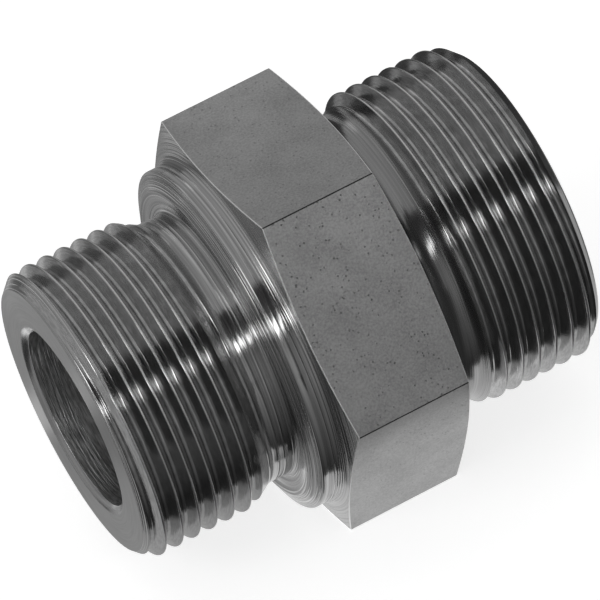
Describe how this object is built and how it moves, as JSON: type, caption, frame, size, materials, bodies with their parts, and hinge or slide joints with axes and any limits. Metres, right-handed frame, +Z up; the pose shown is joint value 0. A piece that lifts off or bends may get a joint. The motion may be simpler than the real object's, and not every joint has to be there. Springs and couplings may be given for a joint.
{
  "type": "cutting ring fitting body",
  "caption": "Body of a straight male stud tube fitting: threaded stud with undercut and raised sealing edge, chamfered hexagon, threaded tube end with an inner cone for a cutting ring.",
  "frame": {"origin": "on the axis, in the plane of the collar's sealing edge, where the face of the port meets the fitting", "axes": "+X along the axis from the stud end towards the tube end, +Z up and square to the hexagon flats underneath and on top, +Y along a hexagon's corner"},
  "size_m": [0.0536, 0.0474, 0.041],
  "materials": {
    "steel": "bare machined steel: drawn hexagon flats with fine grain and small pits, turned ends, collar and threads with fine rings"
  },
  "bodies": {
    "root": {"fitting_body": "steel"}
  },
  "joints": []
}
